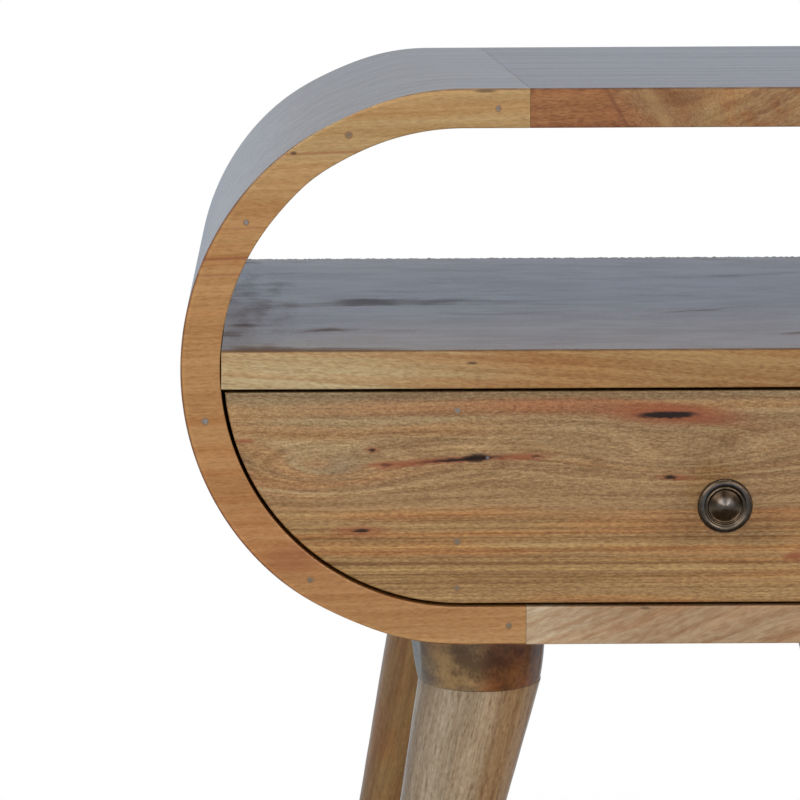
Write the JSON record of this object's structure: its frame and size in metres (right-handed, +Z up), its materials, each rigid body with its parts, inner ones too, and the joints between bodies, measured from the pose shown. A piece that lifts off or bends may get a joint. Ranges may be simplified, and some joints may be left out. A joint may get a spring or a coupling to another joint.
{
  "type": "nightstand",
  "caption": "Wooden bedside table with a racetrack-shaped casing, an open shelf above a drawer with a round knob, and splayed tapered legs on round collars.",
  "frame": {"origin": "on the floor, under the middle of the box round the whole table with its knob", "axes": "+X to the right seen from the front, +Y from the front to the back, +Z up"},
  "size_m": [0.496, 0.373, 0.51],
  "materials": {
    "honey_wood": "honey-coloured hardwood under a semi-gloss clear lacquer",
    "red_wood": "reddish figured hardwood under a semi-gloss clear lacquer",
    "pale_wood": "pale pinkish hardwood under a semi-gloss clear lacquer",
    "shelf_wood": "yellow-tan hardwood under a semi-gloss clear lacquer",
    "drawer_wood": "olive-tan hardwood with knots under a semi-gloss clear lacquer",
    "collar_wood": "dark blotchy hardwood under a semi-gloss clear lacquer",
    "leg_wood": "greyish-tan hardwood under a semi-gloss clear lacquer",
    "inner_wood": "plain sanded hardwood",
    "panel_wood": "plain sanded plywood",
    "dowel_wood": "fluted hardwood dowel, unfinished",
    "nail_steel": "dull steel under grey filler",
    "screw_steel": "bright zinc plating",
    "antique_brass": "dark antique bronze colour, rubbed bright on the high places",
    "insert_brass": "plain turned brass"
  },
  "bodies": {
    "cabinet": {"left_end_front": "honey_wood", "left_end_core": "honey_wood", "left_end_back": "honey_wood", "right_end_front": "honey_wood", "right_end_core": "honey_wood", "right_end_back": "honey_wood", "top_rail": "red_wood", "bottom_rail": "pale_wood", "shelf": "shelf_wood", "back_panel": "panel_wood", "rail_dowels": "dowel_wood", "shelf_dowels": "dowel_wood", "left_end_nails": "nail_steel", "right_end_nails": "nail_steel", "left_drawer_guide": "inner_wood", "right_drawer_guide": "inner_wood", "drawer_stops": "inner_wood", "guide_screws": "screw_steel", "front_left_collar": "collar_wood", "front_right_collar": "collar_wood", "back_left_collar": "collar_wood", "back_right_collar": "collar_wood", "front_left_leg": "leg_wood", "front_right_leg": "leg_wood", "back_left_leg": "leg_wood", "back_right_leg": "leg_wood", "leg_bolts": "screw_steel", "leg_inserts": "insert_brass"},
    "drawer": {"drawer_front": "drawer_wood", "drawer_left_side": "inner_wood", "drawer_right_side": "inner_wood", "drawer_back": "inner_wood", "drawer_bottom": "panel_wood", "drawer_front_nails": "nail_steel", "drawer_back_nails": "nail_steel", "drawer_bottom_pins": "nail_steel", "knob": "antique_brass", "knob_screw": "screw_steel", "knob_washer": "screw_steel"}
  },
  "joints": [
    {"name": "drawer_slide", "type": "slide", "parent": "cabinet", "child": "drawer", "axis": [0, -1, 0], "range_m": [0, 0.24]}
  ]
}
